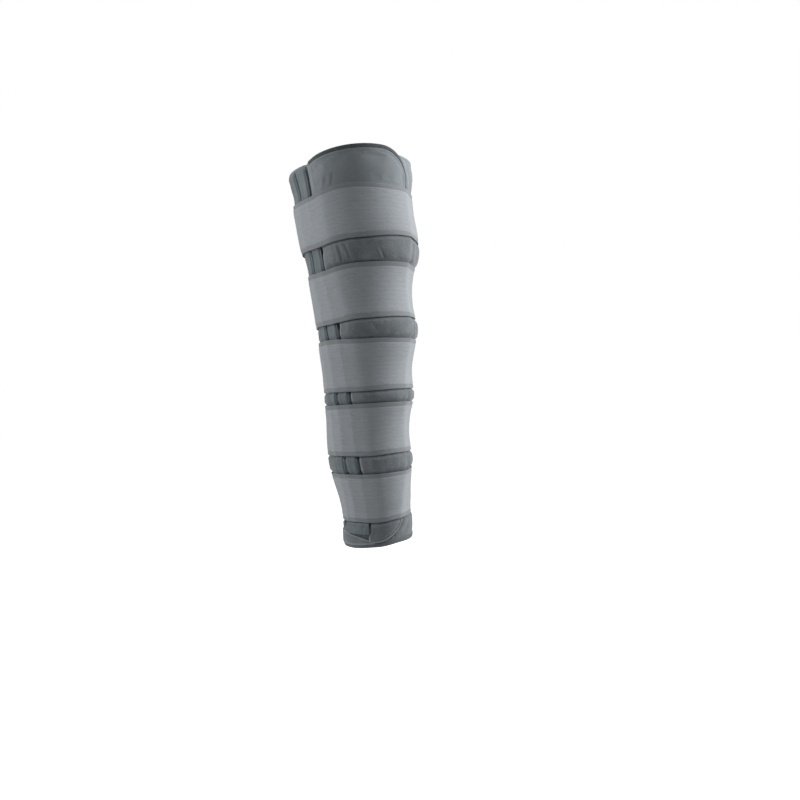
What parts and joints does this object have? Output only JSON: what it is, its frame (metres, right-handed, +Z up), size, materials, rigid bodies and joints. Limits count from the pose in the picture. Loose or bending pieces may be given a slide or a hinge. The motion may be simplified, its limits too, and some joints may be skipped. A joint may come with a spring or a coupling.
{
  "type": "knee immobilizer",
  "caption": "Long padded leg brace that wraps a right leg from thigh to ankle, with an overlapping front panel, side stay pockets and wide elastic straps.",
  "frame": {"origin": "middle of the knee, on the leg's middle line inside the brace", "axes": "+Z up the leg towards the thigh, -Y to the front of the leg, -X to the outer side of the right leg"},
  "size_m": [0.1814, 0.193, 0.5615],
  "materials": {
    "panel_fabric": "brushed loop fabric over foam, slate grey",
    "pocket_fabric": "smooth knitted fabric, blue grey",
    "strap_elastic": "ribbed woven elastic, light grey",
    "hook_tape": "hook tape, dark grey"
  },
  "bodies": {
    "root": {"wrap_panel": "panel_fabric", "front_panel": "panel_fabric", "stay_pocket_1": "pocket_fabric", "stay_pocket_2": "pocket_fabric", "pocket_flap": "panel_fabric", "strap_1": "strap_elastic", "strap_2": "strap_elastic", "strap_3": "strap_elastic", "strap_4": "strap_elastic", "strap_5": "strap_elastic", "hook_tab_1": "hook_tape", "hook_tab_2": "hook_tape", "hook_tab_3": "hook_tape", "hook_tab_4": "hook_tape", "hook_tab_5": "hook_tape"}
  },
  "joints": []
}
